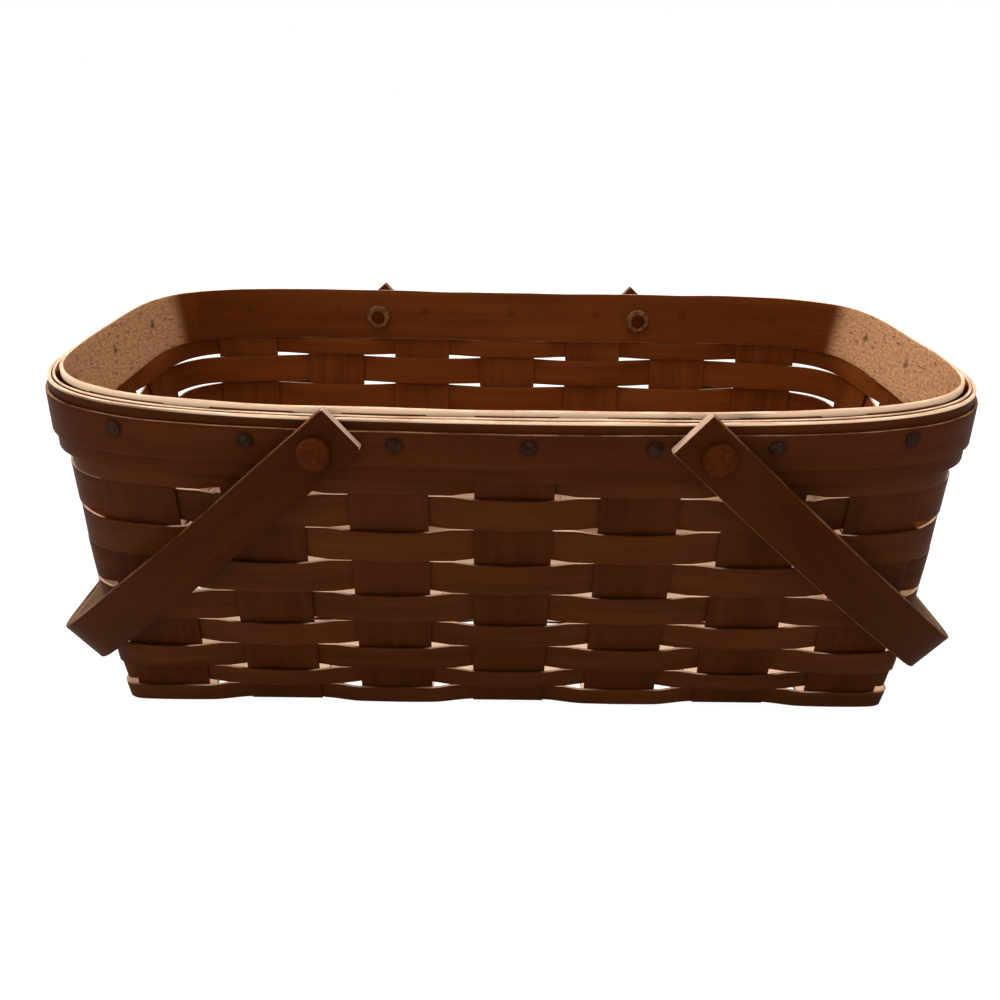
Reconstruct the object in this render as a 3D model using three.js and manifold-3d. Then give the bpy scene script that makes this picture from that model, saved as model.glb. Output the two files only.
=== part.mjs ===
// A woven wood splint market basket with two swinging bentwood handles.
// Millimetres, +Z up. The origin is the middle of the bottom, X runs along the basket and -Y is its front.

import * as THREE from "three";
import { mergeVertices } from "three/addons/utils/BufferGeometryUtils.js";
import Module from "manifold-3d";

const wasm = await Module();
wasm.setup();

// The basket's outside size at the rim, and how far each wall leans out from the bottom up to it
const RIM_LENGTH = 482;
const RIM_WIDTH = 282;
const END_FLARE = 33;
const SIDE_FLARE = 36.5;
const RIM_SQUARENESS = 4.3;
const BASE_SQUARENESS = 60;
const ROUNDING_POWER = 1.4;
const RIM_RISE = 3.8;

// Stakes: the splints that run up both walls and across the bottom
const STAKE_THICKNESS = 1.6;
const CROSS_STAKE_COUNT = 7;
const CROSS_STAKE_GAP = 22.2;
const CROSS_STAKE_MARGIN = 6.3;
const LONG_STAKE_COUNT = 3;
const LONG_STAKE_GAP = 24;
const LONG_STAKE_MARGIN = 20.5;
const STAKE_BELOW_RIM = 2.6;

// Weavers: one closed splint for each row, from the bottom up
const WEAVER_THICKNESS = 1.4;
const ROW_WIDTHS = [10.6, 10.9, 14.6, 14.6, 17.2, 18.6, 18, 17.8, 11.3];
const ROW_SLIT = 1.4;
const ROW_BOTTOM = 0.4;
const WEAVER_CROWN = 1.6;
const TIGHT_CROWN = 0.3;
const CROSSING_LENGTH = 0.5;

// Rim: an inner band, a filler splint, an outer band and a trim strip over it
const BAND_THICKNESS = 1.9;
const INNER_BAND_WIDTH = 33;
const OUTER_BAND_WIDTH = 32.4;
const OUTER_BAND_LAP = 2.4;
const FILLER_THICKNESS = 1.4;
const FILLER_WIDTH = 21;
const TRIM_THICKNESS = 1.6;
const TRIM_WIDTH = 18.8;
const TRIM_BELOW_RIM = 5.6;

// Tacks that hold the rim together, one at each stake. The shoulder is in shares of the head.
const TACK_HEAD_DIAMETER = 6.8;
const TACK_HEAD_HEIGHT = 1;
const TACK_SHANK = 1.5;
const TACK_SHOULDER_RADIUS = 0.9;
const TACK_SHOULDER_HEIGHT = 0.6;
const TACK_SIDES = 10;
const TACK_POINT_PROUD = 0.5;
const TACK_BELOW_RIM = 11.3;
const TACK_ASIDE = 1.8;
const FRONT_TACKS_ASIDE = [2.5, 2.1, -4.9, -5.6, -2.7, 2, -1.5];

// Handles: two bows of bent wood, each on two pegs that stand so many stakes out from the middle.
// Past their straight part the arms curve in, up to a lean at the bend.
const HANDLE_WIDTH = 25;
const HANDLE_THICKNESS = 6.5;
const HANDLE_BEND_RADIUS = 35;
const HANDLE_STRAIGHT = 30;
const HANDLE_LEAN = 0.36;
const HANDLE_END = 17;
const HANDLE_REST_ANGLE = 42.3;
const PEG_STAKES_OUT = 1.5;
const PEG_BELOW_RIM = 13.7;
const PEG_DIAMETER = 8.5;
const PEG_HEAD_DIAMETER = 15.8;
const PEG_HEAD_HEIGHT = 6.5;
const PEG_HEAD_EDGE = 2.3;
const PEG_END_PROUD = 1;
const WASHER_DIAMETER = 15.5;
const WASHER_THICKNESS = 3;

// Clearances
const GAP = 0.3;
const HANDLE_PLAY = 0.8;
const PEG_CLEARANCE = 0.3;
const TACK_CLEARANCE = 0.25;
const WALL_CLEARANCE = 0.5;

// How finely round forms are divided, how far a cutter runs past a face, and how near points count as one
const CORNER_STEPS = 4;
const ARM_STEPS = 5;
const BEND_STEPS = 7;
const PEG_SIDES = 12;
const PEG_DOME_STEPS = 3;
const HOLE_OVERRUN = 1;
const MERGE_DISTANCE = 1e-4;

// Layers of the wall, as sideways distances from the middle of the stakes
const stakeHalf = STAKE_THICKNESS / 2;
const weaverMiddle = stakeHalf + GAP + WEAVER_THICKNESS / 2;
const fillerInside = stakeHalf + GAP;
const outerBandInside = stakeHalf + 2 * GAP + Math.max(FILLER_THICKNESS, WEAVER_THICKNESS + TIGHT_CROWN);
const outerBandOutside = outerBandInside + BAND_THICKNESS;
const trimInside = outerBandOutside + GAP;
const trimOutside = trimInside + TRIM_THICKNESS;
const innerBandOutside = -stakeHalf - GAP;
const innerBandInside = innerBandOutside - BAND_THICKNESS;

// Heights of the weave's rows and of the rim's pieces
const rowLow = [];
const rowHigh = [];
ROW_WIDTHS.forEach((width, row) => {
  rowLow.push(row === 0 ? ROW_BOTTOM : rowHigh[row - 1] + ROW_SLIT);
  rowHigh.push(rowLow[row] + width);
});
const weaveTop = rowHigh[rowHigh.length - 1];
const innerBandLow = weaveTop + GAP;
const innerBandHigh = innerBandLow + INNER_BAND_WIDTH;
const outerBandLow = weaveTop - OUTER_BAND_LAP;
const rimTop = outerBandLow + OUTER_BAND_WIDTH;
const trimHigh = rimTop - TRIM_BELOW_RIM;
const trimLow = trimHigh - TRIM_WIDTH;
const stakeTop = innerBandHigh - STAKE_BELOW_RIM;
const fillerHigh = stakeTop;
const fillerLow = Math.max(fillerHigh - FILLER_WIDTH, weaveTop + GAP);
const tackHeight = rimTop - TACK_BELOW_RIM;
const pegHeight = rimTop - PEG_BELOW_RIM;

// Bottom weave: a stake passes either under or over the stakes that cross it
const floorLow = stakeHalf;
const floorHigh = floorLow + STAKE_THICKNESS + GAP;
const floorTop = floorHigh + stakeHalf;

// Half sizes of the surface through the middle of the stakes
const rimHalfLength = RIM_LENGTH / 2 - outerBandOutside;
const rimHalfWidth = RIM_WIDTH / 2 - outerBandOutside;
const baseLength = RIM_LENGTH - 2 * END_FLARE;
const baseWidth = RIM_WIDTH - 2 * SIDE_FLARE;
const baseHalfLength = baseLength / 2 - stakeHalf;
const baseHalfWidth = baseWidth / 2 - stakeHalf;

// The stakes share the bottom's length and width evenly, and the pegs stand midway between two of them.
const crossStakeWidth = shareOut(baseLength, CROSS_STAKE_COUNT, CROSS_STAKE_GAP, CROSS_STAKE_MARGIN);
const crossStakeSpacing = crossStakeWidth + CROSS_STAKE_GAP;
const crossStakeXs = spread(CROSS_STAKE_COUNT, crossStakeSpacing);
const longStakeWidth = shareOut(baseWidth, LONG_STAKE_COUNT, LONG_STAKE_GAP, LONG_STAKE_MARGIN);
const longStakeYs = spread(LONG_STAKE_COUNT, longStakeWidth + LONG_STAKE_GAP);
const pegX = PEG_STAKES_OUT * crossStakeSpacing;

function shareOut(whole, count, gap, margin) {
  return (whole - 2 * margin - (count - 1) * gap) / count;
}

function spread(count, spacing) {
  return Array.from({ length: count }, (_, index) => (index - (count - 1) / 2) * spacing);
}

// The wall is a rounded rectangle that grows from the bottom to the rim, and rounds its corners as it does.
function wallSize(z) {
  const share = z / rimTop;
  const rounding = Math.abs(share) ** ROUNDING_POWER;
  const roundness = THREE.MathUtils.lerp(1 / BASE_SQUARENESS, 1 / RIM_SQUARENESS, rounding);
  return {
    halfLength: THREE.MathUtils.lerp(baseHalfLength, rimHalfLength, share),
    halfWidth: THREE.MathUtils.lerp(baseHalfWidth, rimHalfWidth, share),
    power: 1 / roundness,
  };
}

// A station is a place along the wall: a fixed x on a long side, a fixed y on an end, or a share of a corner.
function unitPlace(station, z) {
  const { halfLength, halfWidth, power } = wallSize(z);
  const other = (value) => (1 - Math.abs(value) ** power) ** (1 / power);
  if (station.kind === "long") {
    const u = station.at / halfLength;
    return [u, station.side * other(u)];
  }
  if (station.kind === "end") {
    const v = station.at / halfWidth;
    return [station.side * other(v), v];
  }
  const [u1, v1] = unitPlace(station.from, z);
  const [u2, v2] = unitPlace(station.to, z);
  const start = Math.atan2(v1, u1);
  const end = nearAngle(Math.atan2(v2, u2), start);
  const angle = THREE.MathUtils.lerp(start, end, station.share);
  const u = Math.cos(angle);
  const v = Math.sin(angle);
  const scale = (Math.abs(u) ** power + Math.abs(v) ** power) ** (-1 / power);
  return [u * scale, v * scale];
}

function nearAngle(angle, target) {
  return angle + 2 * Math.PI * Math.round((target - angle) / (2 * Math.PI));
}

function wallPoint(station, z, offset = 0) {
  const { halfLength, halfWidth, power } = wallSize(z);
  const [u, v] = unitPlace(station, z);
  const outward = new THREE.Vector3(
    (Math.sign(u) * Math.abs(u) ** (power - 1)) / halfLength,
    (Math.sign(v) * Math.abs(v) ** (power - 1)) / halfWidth,
    0,
  ).normalize();
  const lift = RIM_RISE * (z / rimTop) ** 2 * u ** 2;
  return new THREE.Vector3(u * halfLength, v * halfWidth, z + lift).addScaledVector(outward, offset);
}

// Stations go round the wall anticlockwise from the front's left end.
// Each knows whether the top row passes outside or inside there.
const stations = [];
function addSide(kind, side, places, width, direction) {
  const inOrder = direction > 0 ? places : [...places].reverse();
  inOrder.forEach((place, index) => {
    const middle = (places.length - 1) / 2;
    const turn = (index - middle) % 2 === 0 ? 1 : -1;
    const outside = kind === "long" ? -turn : turn;
    [-1, 0, 1].forEach((part) => {
      const at = place + direction * part * (width / 2 + (part ? CROSSING_LENGTH : 0));
      stations.push({ kind, side, at, outside, centre: part === 0 });
    });
  });
}
function addCorner() {
  stations.push({ kind: "corner" });
}
addSide("long", -1, crossStakeXs, crossStakeWidth, 1);
addCorner();
addSide("end", 1, longStakeYs, longStakeWidth, 1);
addCorner();
addSide("long", 1, crossStakeXs, crossStakeWidth, -1);
addCorner();
addSide("end", -1, longStakeYs, longStakeWidth, -1);
addCorner();
const loop = stations.flatMap((station, index) => {
  if (station.kind !== "corner") {
    return [station];
  }
  const from = stations[index - 1];
  const to = stations[(index + 1) % stations.length];
  return Array.from({ length: CORNER_STEPS - 1 }, (_, step) => {
    const share = (step + 1) / CORNER_STEPS;
    const outside = THREE.MathUtils.lerp(from.outside, to.outside, share);
    return { kind: "corner", from, to, share, outside };
  });
});

// A closed slab from two grids of points, the outer and the inner face.
// The first index runs along the splint. Hoops and stakes split their facets
// along the same line of the wall, so that they lie evenly on each other.
function slab(outer, inner, closed) {
  const across = outer[0].length;
  const positions = [...outer, ...inner].flat().flatMap((point) => point.toArray());
  const innerStart = outer.length * across;
  const at = (face, i, j) => (face ? innerStart : 0) + (i % outer.length) * across + j;
  const indices = [];
  const quad = (a, b, c, d) => indices.push(...(closed ? [a, b, c, a, c, d] : [a, b, d, b, c, d]));
  const steps = closed ? outer.length : outer.length - 1;
  for (let i = 0; i < steps; i += 1) {
    for (let j = 0; j < across - 1; j += 1) {
      quad(at(0, i, j), at(0, i + 1, j), at(0, i + 1, j + 1), at(0, i, j + 1));
      quad(at(1, i, j), at(1, i, j + 1), at(1, i + 1, j + 1), at(1, i + 1, j));
    }
    quad(at(0, i, 0), at(1, i, 0), at(1, i + 1, 0), at(0, i + 1, 0));
    quad(at(0, i, across - 1), at(0, i + 1, across - 1), at(1, i + 1, across - 1), at(1, i, across - 1));
  }
  if (!closed) {
    const last = outer.length - 1;
    for (let j = 0; j < across - 1; j += 1) {
      quad(at(0, 0, j), at(0, 0, j + 1), at(1, 0, j + 1), at(1, 0, j));
      quad(at(0, last, j), at(1, last, j), at(1, last, j + 1), at(0, last, j + 1));
    }
  }
  const geometry = new THREE.BufferGeometry();
  geometry.setAttribute("position", new THREE.Float32BufferAttribute(positions, 3));
  geometry.setIndex(indices);
  return geometry;
}

// A splint round the whole basket, through rising heights and between two sideways distances.
function hoop(heights, inside, outside) {
  const face = (distance) => loop.map((station) => (
    heights.map((height) => wallPoint(station, height(station), distance(station)))
  ));
  return slab(face(outside), face(inside), true);
}

const always = (value) => () => value;

function weaver(row) {
  const alternate = (ROW_WIDTHS.length - 1 - row) % 2 === 0 ? 1 : -1;
  const tight = row === 0 || row === ROW_WIDTHS.length - 1;
  const crown = tight ? TIGHT_CROWN : WEAVER_CROWN;
  const middle = (station) => alternate * station.outside * (weaverMiddle + (station.centre ? crown : 0));
  const low = (station) => {
    const goesInside = row === 0 && alternate * station.outside < 0 && station.kind !== "corner";
    return goesInside ? floorTop + GAP : rowLow[row];
  };
  return hoop(
    [low, always(rowHigh[row])],
    (station) => middle(station) - WEAVER_THICKNESS / 2,
    (station) => middle(station) + WEAVER_THICKNESS / 2,
  );
}

// A stake comes down one wall, crosses the bottom and goes up the other wall.
const wallHeights = [stakeTop, tackHeight, weaveTop];
for (let row = ROW_WIDTHS.length - 1; row > 0; row -= 1) {
  wallHeights.push((rowLow[row] + rowHigh[row - 1]) / 2);
}
function stake(kind, place, width, direction, crossings, crossingWidth, goesUnder) {
  const acrossPlaces = [-1, 0, 1].map((part) => place + direction * part * width / 2);
  const outer = [];
  const inner = [];
  const down = new THREE.Vector3(0, 0, -1);
  const addRow = (pointAt, pushAt) => {
    outer.push(acrossPlaces.map((at) => pointAt(at).addScaledVector(pushAt(at), stakeHalf)));
    inner.push(acrossPlaces.map((at) => pointAt(at).addScaledVector(pushAt(at), -stakeHalf)));
  };
  const onWall = (side, at, z, offset = 0) => wallPoint({ kind, side, at }, z, offset);
  const outward = (side, at, z) => onWall(side, at, z, 1).sub(onWall(side, at, z));
  const wall = (side, heights) => heights.forEach((z) => {
    addRow((at) => onWall(side, at, z), (at) => outward(side, at, z));
  });
  const fold = (side) => addRow(
    (at) => onWall(side, at, floorLow).setZ(floorLow),
    (at) => outward(side, at, floorLow).add(down),
  );
  wall(-1, wallHeights);
  fold(-1);
  crossings.forEach((crossing, index) => {
    const level = goesUnder(index) ? floorLow : floorHigh;
    [-1, 1].forEach((part) => {
      const along = crossing + part * (crossingWidth / 2 + CROSSING_LENGTH);
      addRow((at) => {
        const [x, y] = kind === "long" ? [at, along] : [along, at];
        return new THREE.Vector3(x, y, level);
      }, () => down);
    });
  });
  fold(1);
  wall(1, [...wallHeights].reverse());
  return slab(outer, inner, false);
}

// Solid cuts and joins
function toSolid(geometry) {
  const bare = geometry.clone();
  bare.deleteAttribute("normal");
  bare.deleteAttribute("uv");
  const merged = mergeVertices(bare, MERGE_DISTANCE);
  return new wasm.Manifold(new wasm.Mesh({
    numProp: 3,
    vertProperties: new Float32Array(merged.attributes.position.array),
    triVerts: new Uint32Array(merged.index.array),
  }));
}

function fromSolid(solid) {
  const mesh = solid.getMesh();
  const geometry = new THREE.BufferGeometry();
  geometry.setAttribute("position", new THREE.BufferAttribute(new Float32Array(mesh.vertProperties), 3));
  geometry.setIndex(Array.from(mesh.triVerts));
  return geometry;
}

function cut(geometry, cutters) {
  return fromSolid(cutters.reduce((solid, cutter) => solid.subtract(toSolid(cutter)), toSolid(geometry)));
}

// Tacks stand square to the wall, each so far to the left of its stake's middle as seen from outside.
// The front's seven come first.
const tackStations = loop.filter((station) => station.centre);
const tackPlaces = tackStations.map((station, index) => {
  const middle = wallPoint(station, tackHeight);
  const up = wallPoint(station, rimTop).sub(wallPoint(station, outerBandLow)).normalize();
  const outward = wallPoint(station, tackHeight, 1).sub(middle);
  const axis = outward.clone().addScaledVector(up, -outward.dot(up)).normalize();
  const aside = axis.clone().cross(up);
  const basis = new THREE.Matrix4().makeBasis(aside, axis, up);
  basis.setPosition(middle.addScaledVector(aside, FRONT_TACKS_ASIDE[index] ?? TACK_ASIDE));
  return { basis, squareness: axis.dot(outward) };
});

function squareShank(side, from, to) {
  return new THREE.BoxGeometry(side, to - from, side).translate(0, (from + to) / 2, 0);
}

function tackHole({ basis }) {
  const through = 2 * (trimOutside - innerBandInside);
  return squareShank(TACK_SHANK + 2 * TACK_CLEARANCE, -through, through).applyMatrix4(basis);
}

function tack({ basis, squareness }) {
  const seat = trimOutside * squareness + GAP;
  const point = innerBandInside * squareness - TACK_POINT_PROUD;
  const radius = TACK_HEAD_DIAMETER / 2;
  const head = new THREE.LatheGeometry([
    new THREE.Vector2(0, seat),
    new THREE.Vector2(radius, seat),
    new THREE.Vector2(radius * TACK_SHOULDER_RADIUS, seat + TACK_HEAD_HEIGHT * TACK_SHOULDER_HEIGHT),
    new THREE.Vector2(0, seat + TACK_HEAD_HEIGHT),
  ], TACK_SIDES);
  const shank = squareShank(TACK_SHANK, point, seat + TACK_HEAD_HEIGHT / 2);
  return fromSolid(toSolid(head).add(toSolid(shank))).applyMatrix4(basis);
}

// Pegs and handles turn on lines parallel to Y
const pegPlaces = [-1, 1].flatMap((sideY) => [-1, 1].map((sideX) => ({ sideX, sideY })));
const pegStation = { kind: "long", side: -1, at: pegX };
const trimReach = -wallPoint(pegStation, trimHigh, trimOutside).y;
const handleInside = trimReach + HANDLE_PLAY;
const handleOutside = handleInside + HANDLE_THICKNESS;
const washerLow = pegHeight - WASHER_DIAMETER / 2;
const washerOutside = -wallPoint(pegStation, washerLow, innerBandInside).y - GAP;
const washerInside = washerOutside - WASHER_THICKNESS;
const pegInside = washerInside - PEG_END_PROUD;

function alongY(geometry, sideX, sideY) {
  if (sideY < 0) {
    geometry.rotateZ(Math.PI);
  }
  return geometry.translate(sideX * pegX, 0, pegHeight);
}

function pegHole({ sideX, sideY }, from, to) {
  const radius = PEG_DIAMETER / 2 + PEG_CLEARANCE;
  const hole = new THREE.CylinderGeometry(radius, radius, to - from, PEG_SIDES);
  return alongY(hole.translate(0, (from + to) / 2, 0), sideX, sideY);
}

function peg({ sideX, sideY }) {
  const head = handleOutside + GAP;
  const radius = PEG_HEAD_DIAMETER / 2;
  const dome = Array.from({ length: PEG_DOME_STEPS }, (_, step) => {
    const angle = (Math.PI / 2) * ((step + 0.5) / PEG_DOME_STEPS);
    const height = THREE.MathUtils.lerp(PEG_HEAD_EDGE, PEG_HEAD_HEIGHT, Math.sin(angle));
    return new THREE.Vector2(radius * Math.cos(angle), head + height);
  });
  const profile = [
    new THREE.Vector2(0, pegInside),
    new THREE.Vector2(PEG_DIAMETER / 2, pegInside),
    new THREE.Vector2(PEG_DIAMETER / 2, head),
    new THREE.Vector2(radius, head),
    ...dome,
    new THREE.Vector2(0, head + PEG_HEAD_HEIGHT),
  ];
  return alongY(new THREE.LatheGeometry(profile, PEG_SIDES), sideX, sideY);
}

function washer({ sideX, sideY }) {
  const bore = PEG_DIAMETER / 2 + PEG_CLEARANCE;
  const radius = WASHER_DIAMETER / 2;
  const profile = [
    new THREE.Vector2(bore, washerInside),
    new THREE.Vector2(radius, washerInside),
    new THREE.Vector2(radius, washerOutside),
    new THREE.Vector2(bore, washerOutside),
    new THREE.Vector2(bore, washerInside),
  ];
  return alongY(new THREE.LatheGeometry(profile, PEG_SIDES), sideX, sideY);
}

// The handle's reach brings its crossbar to rest just outside the weave of the end wall.
const restAngle = THREE.MathUtils.degToRad(HANDLE_REST_ANGLE);
const endSlope = (rimHalfLength - baseHalfLength) / rimTop;
const weaveReach = weaverMiddle + WEAVER_THICKNESS / 2 + WEAVER_CROWN + WALL_CLEARANCE;
const cornerX = pegX - HANDLE_WIDTH / 2 * Math.sin(restAngle);
const cornerZ = pegHeight - HANDLE_WIDTH / 2 * Math.cos(restAngle);
const wallAtCorner = baseHalfLength + endSlope * cornerZ + weaveReach;
const innerReach = (wallAtCorner - cornerX) / (Math.cos(restAngle) + endSlope * Math.sin(restAngle));

function offsetLine(points, distance) {
  return points.map((point, index) => {
    const before = points[Math.max(index - 1, 0)];
    const after = points[Math.min(index + 1, points.length - 1)];
    const first = point.clone().sub(before).normalize();
    const second = after.clone().sub(point).normalize();
    const along = first.clone().add(second).normalize();
    const shift = distance / Math.max(along.dot(first), along.dot(second));
    return new THREE.Vector2(point.x - along.y * shift, point.y + along.x * shift);
  });
}

function handle(sideX) {
  const middleReach = innerReach + HANDLE_THICKNESS / 2;
  const middleSpan = handleInside + HANDLE_THICKNESS / 2;
  const bend = HANDLE_BEND_RADIUS - HANDLE_THICKNESS / 2;
  const lean = Math.atan(HANDLE_LEAN);
  const bendX = middleReach - bend + bend * Math.sin(lean);
  const curved = bendX - HANDLE_STRAIGHT;
  const half = [new THREE.Vector2(-HANDLE_END, -middleSpan)];
  for (let step = 0; step <= ARM_STEPS; step += 1) {
    const share = step / ARM_STEPS;
    const inward = HANDLE_LEAN * curved * share ** 2 / 2;
    half.push(new THREE.Vector2(HANDLE_STRAIGHT + curved * share, inward - middleSpan));
  }
  const bendY = half[half.length - 1].y;
  for (let step = 1; step <= BEND_STEPS; step += 1) {
    const angle = THREE.MathUtils.lerp(lean, Math.PI / 2, step / BEND_STEPS);
    half.push(new THREE.Vector2(
      bendX + bend * (Math.sin(angle) - Math.sin(lean)),
      bendY + bend * (Math.cos(lean) - Math.cos(angle)),
    ));
  }
  const line = [...half, ...half.map((point) => new THREE.Vector2(point.x, -point.y)).reverse()];
  const outline = [
    ...offsetLine(line, -HANDLE_THICKNESS / 2),
    ...offsetLine(line, HANDLE_THICKNESS / 2).reverse(),
  ];
  const shape = new THREE.Shape(outline);
  const bow = new THREE.ExtrudeGeometry(shape, { depth: HANDLE_WIDTH, bevelEnabled: false });
  bow.translate(0, 0, -HANDLE_WIDTH / 2);
  bow.rotateY(sideX > 0 ? restAngle : Math.PI - restAngle);
  bow.translate(sideX * pegX, 0, pegHeight);
  return cut(bow, [-1, 1].map((sideY) => (
    pegHole({ sideX, sideY }, handleInside - HOLE_OVERRUN, handleOutside + HOLE_OVERRUN)
  )));
}

// The object's pieces
const basket = new THREE.Group();
const finishes = {
  stake: { color: 0x4a2410, roughness: 0.55 },
  weaver: { color: 0x53290f, roughness: 0.55 },
  band: { color: 0x4b240e, roughness: 0.5 },
  handle: { color: 0x5a2f14, roughness: 0.5 },
  peg: { color: 0x74411c, roughness: 0.5 },
  tack: { color: 0x2a1a12, roughness: 0.6 },
};

function add(name, geometry, finish) {
  const { color, roughness } = finishes[finish];
  const mesh = new THREE.Mesh(geometry, new THREE.MeshStandardMaterial({ color, roughness, metalness: 0 }));
  mesh.name = name;
  geometry.computeVertexNormals();
  basket.add(mesh);
}

const tackHoles = tackPlaces.map(tackHole);
const pegHoles = pegPlaces.map((place) => pegHole(place, pegInside, handleOutside));
const tackHolesAt = (kind, at) => tackHoles.filter((_, index) => (
  tackStations[index].kind === kind && tackStations[index].at === at
));

// Counted from the middle of the bottom, a cross stake goes under a long stake at every even crossing.
const fromMiddle = (places, index) => index - (places.length - 1) / 2;
const evenCrossing = (crossIndex, longIndex) => (
  (fromMiddle(crossStakeXs, crossIndex) + fromMiddle(longStakeYs, longIndex)) % 2 === 0
);
crossStakeXs.forEach((x, index) => {
  const goesUnder = (longIndex) => evenCrossing(index, longIndex);
  const plain = stake("long", x, crossStakeWidth, 1, longStakeYs, longStakeWidth, goesUnder);
  add(`cross_stake_${index + 1}`, cut(plain, tackHolesAt("long", x)), "stake");
});
longStakeYs.forEach((y, index) => {
  const goesUnder = (crossIndex) => !evenCrossing(crossIndex, index);
  const plain = stake("end", y, longStakeWidth, -1, crossStakeXs, crossStakeWidth, goesUnder);
  add(`long_stake_${index + 1}`, cut(plain, tackHolesAt("end", y)), "stake");
});
ROW_WIDTHS.forEach((_, row) => add(`weaver_${row + 1}`, weaver(row), "weaver"));

function addBand(name, low, high, inside, outside, finish) {
  const plain = hoop([low, tackHeight, high].map(always), always(inside), always(outside));
  add(name, cut(plain, [...tackHoles, ...pegHoles]), finish);
}
addBand("rim_filler", fillerLow, fillerHigh, fillerInside, fillerInside + FILLER_THICKNESS, "weaver");
addBand("inner_band", innerBandLow, innerBandHigh, innerBandInside, innerBandOutside, "band");
addBand("outer_band", outerBandLow, rimTop, outerBandInside, outerBandOutside, "band");
addBand("trim_strip", trimLow, trimHigh, trimInside, trimOutside, "band");

tackPlaces.forEach((place, index) => add(`tack_${String(index + 1).padStart(2, "0")}`, tack(place), "tack"));
const sideName = ({ sideX, sideY }) => `${sideY < 0 ? "front" : "rear"}_${sideX < 0 ? "left" : "right"}`;
pegPlaces.forEach((place) => add(`peg_${sideName(place)}`, peg(place), "peg"));
pegPlaces.forEach((place) => add(`washer_${sideName(place)}`, washer(place), "peg"));
add("left_handle", handle(-1), "handle");
add("right_handle", handle(1), "handle");

export default basket;
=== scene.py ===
"""A woven wood splint market basket with two swinging bentwood handles.

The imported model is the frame. Each splint starts as a flat strip, is laid along its path
in the weave, gets its thickness and worn edges, and stands for the plain solid of its name.
Sizes are in millimetres, as on the maker's bench, and become metres where a point is placed.
"""

import math

import bpy
from mathutils import Matrix, Vector, noise


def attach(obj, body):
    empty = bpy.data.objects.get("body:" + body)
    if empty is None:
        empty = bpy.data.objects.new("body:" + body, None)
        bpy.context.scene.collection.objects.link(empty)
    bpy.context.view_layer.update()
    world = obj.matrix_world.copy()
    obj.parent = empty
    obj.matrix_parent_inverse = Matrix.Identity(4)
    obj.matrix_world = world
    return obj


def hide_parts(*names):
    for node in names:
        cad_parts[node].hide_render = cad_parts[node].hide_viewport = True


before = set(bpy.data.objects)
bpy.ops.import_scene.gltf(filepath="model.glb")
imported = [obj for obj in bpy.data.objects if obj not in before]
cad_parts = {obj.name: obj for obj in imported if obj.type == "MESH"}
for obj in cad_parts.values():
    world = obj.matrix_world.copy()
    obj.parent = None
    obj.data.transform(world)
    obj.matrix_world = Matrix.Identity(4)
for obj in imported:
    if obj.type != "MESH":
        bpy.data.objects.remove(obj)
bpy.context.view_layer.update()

MM = 0.001

# The basket's outside size at the rim, and how far each wall leans out on the way up
RIM_LENGTH = 482
RIM_WIDTH = 282
END_FLARE = 33
SIDE_FLARE = 36.5
RIM_SQUARENESS = 4.3
BASE_SQUARENESS = 60
ROUNDING_POWER = 1.4
RIM_RISE = 3.8

# Uprights
STAKE_THICKNESS = 1.6
CROSS_STAKE_COUNT = 7
CROSS_STAKE_WIDTH = 38.6
CROSS_STAKE_GAP = 22.2
LONG_STAKE_COUNT = 3
LONG_STAKE_WIDTH = 40
LONG_STAKE_GAP = 24
FOLD = 2.4
FLOOR_RISE = 0.95
FLOOR_EASE = 9
TURN_UP_START = 5.5
TURN_UP_END = 1.5

# Weavers, from the bottom row up
WEAVER_THICKNESS = 1.4
ROW_WIDTHS = (10.6, 10.9, 14.6, 14.6, 17.2, 18.6, 18, 17.8, 11.3)
ROW_SLIT = 1.4
ROW_BOTTOM = 0.4
WEAVER_CROWN = 1.6
TIGHT_CROWN = 0.3
WEAVER_WANDER = 0.45
TIGHT_WANDER = 0.25
SLIT_CLOSING = 0.8
SLIT_OPENING = 0.35

# Rim
BAND_THICKNESS = 1.9
INNER_BAND_WIDTH = 33
OUTER_BAND_WIDTH = 32.4
OUTER_BAND_LAP = 2.4
FILLER_THICKNESS = 1.4
FILLER_WIDTH = 21
TRIM_THICKNESS = 1.6
TRIM_WIDTH = 18.8
TRIM_BELOW_RIM = 5.6
STAKE_BELOW_RIM = 2.6
LIP = 1.3
BAND_WANDER = 0.5

# Tacks
TACK_BELOW_RIM = 11.3
TACK_ASIDE = 1.8
FRONT_TACKS_ASIDE = (2.5, 2.1, -4.9, -5.6, -2.7, 2, -1.5)
TACK_RADIUS = 3.4
TACK_HEIGHT = 1
TACK_SHANK = 0.75
TACK_POINT_PROUD = 0.5
MARK_START = 7.5
MARK_FULL = 2.5
PEG_MARK_SIZE = 1.7

# Handles, pegs and washers
HANDLE_WIDTH = 25
HANDLE_THICKNESS = 6.5
HANDLE_BEND_RADIUS = 35
HANDLE_STRAIGHT = 30
HANDLE_LEAN = 0.36
HANDLE_END = 17
HANDLE_WANDER = 0.5
GRIP_START = 50
GRIP_FULL = 110
HANDLE_REST_ANGLE = math.radians(42.3)
HANDLE_PLAY = 0.8
PEG_BELOW_RIM = 13.7
PEG_RADIUS = 4.25
PEG_HEAD_RADIUS = 7.9
PEG_HEAD_HEIGHT = 6.5
PEG_END_PROUD = 1
PEG_END_EDGE = 0.6
WASHER_RADIUS = 7.75
WASHER_BORE = 4.55
WASHER_THICKNESS = 3
WASHER_EDGE = 0.6
HEAD_FOOT_SHARE = 0.93

# Worn edges' radii
SPLINT_EDGE_RADIUS = 0.3
BAND_EDGE_RADIUS = 0.35
HANDLE_EDGE_RADIUS = 0.9

# Space between neighbours, and the length of a mesh cell
GAP = 0.3
WALL_CLEARANCE = 0.5
MESH_STEP = 2.2

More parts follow.
